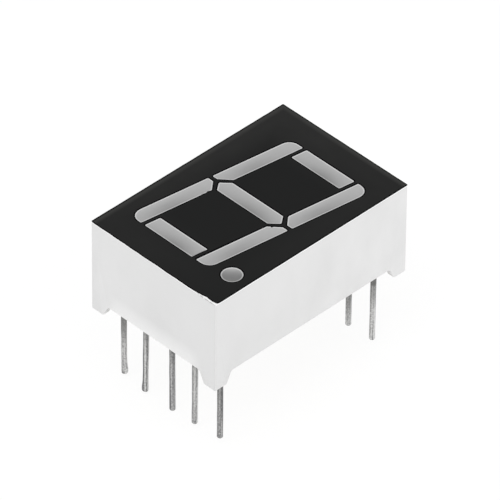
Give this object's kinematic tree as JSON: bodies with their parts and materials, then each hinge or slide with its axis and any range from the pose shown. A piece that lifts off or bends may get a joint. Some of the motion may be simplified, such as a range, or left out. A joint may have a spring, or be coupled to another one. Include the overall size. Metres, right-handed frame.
{
  "type": "single-digit seven segment display",
  "caption": "Single-digit seven segment LED display with a decimal point, in a white housing with a black face and two rows of pins.",
  "frame": {"origin": "centre of the pin grid on the seating plane, which is the underside of the four corner feet", "axes": "+Z out of the face, +Y towards the top of the digit, +X to the right of the digit; the pins point along -Z"},
  "size_m": [0.0126, 0.019, 0.0146],
  "materials": {
    "housing_plastic": "white moulded plastic, smooth satin",
    "mask_black": "black face layer, even matt",
    "window_resin": "milky diffusing resin, flush and smooth",
    "board": "glass-fibre laminate",
    "copper": "plated copper tracks",
    "adhesive": "silver-filled adhesive",
    "chip": "cut semiconductor",
    "gold_wire": "drawn gold wire",
    "pin_tin": "dip-tinned wire, faint lengthwise streaks",
    "solder": "smooth solder",
    "potting_resin": "poured resin, glossy"
  },
  "bodies": {
    "root": {"reflector_housing": "housing_plastic", "face_mask": "mask_black", "segment_a_lens": "window_resin", "segment_b_lens": "window_resin", "segment_c_lens": "window_resin", "segment_d_lens": "window_resin", "segment_e_lens": "window_resin", "segment_f_lens": "window_resin", "segment_g_lens": "window_resin", "decimal_point_lens": "window_resin", "circuit_board": "board", "copper_tracks": "copper", "die_attach": "adhesive", "led_chip_a": "chip", "led_chip_b": "chip", "led_chip_c": "chip", "led_chip_d": "chip", "led_chip_e": "chip", "led_chip_f": "chip", "led_chip_g": "chip", "led_chip_dp": "chip", "bond_wire_a": "gold_wire", "bond_wire_b": "gold_wire", "bond_wire_c": "gold_wire", "bond_wire_d": "gold_wire", "bond_wire_e": "gold_wire", "bond_wire_f": "gold_wire", "bond_wire_g": "gold_wire", "bond_wire_dp": "gold_wire", "pin_1": "pin_tin", "pin_2": "pin_tin", "pin_3": "pin_tin", "pin_4": "pin_tin", "pin_5": "pin_tin", "pin_6": "pin_tin", "pin_7": "pin_tin", "pin_8": "pin_tin", "pin_9": "pin_tin", "pin_10": "pin_tin", "solder_joint_1": "solder", "solder_joint_2": "solder", "solder_joint_3": "solder", "solder_joint_4": "solder", "solder_joint_5": "solder", "solder_joint_6": "solder", "solder_joint_7": "solder", "solder_joint_8": "solder", "solder_joint_9": "solder", "solder_joint_10": "solder", "rear_potting": "potting_resin"}
  },
  "joints": []
}
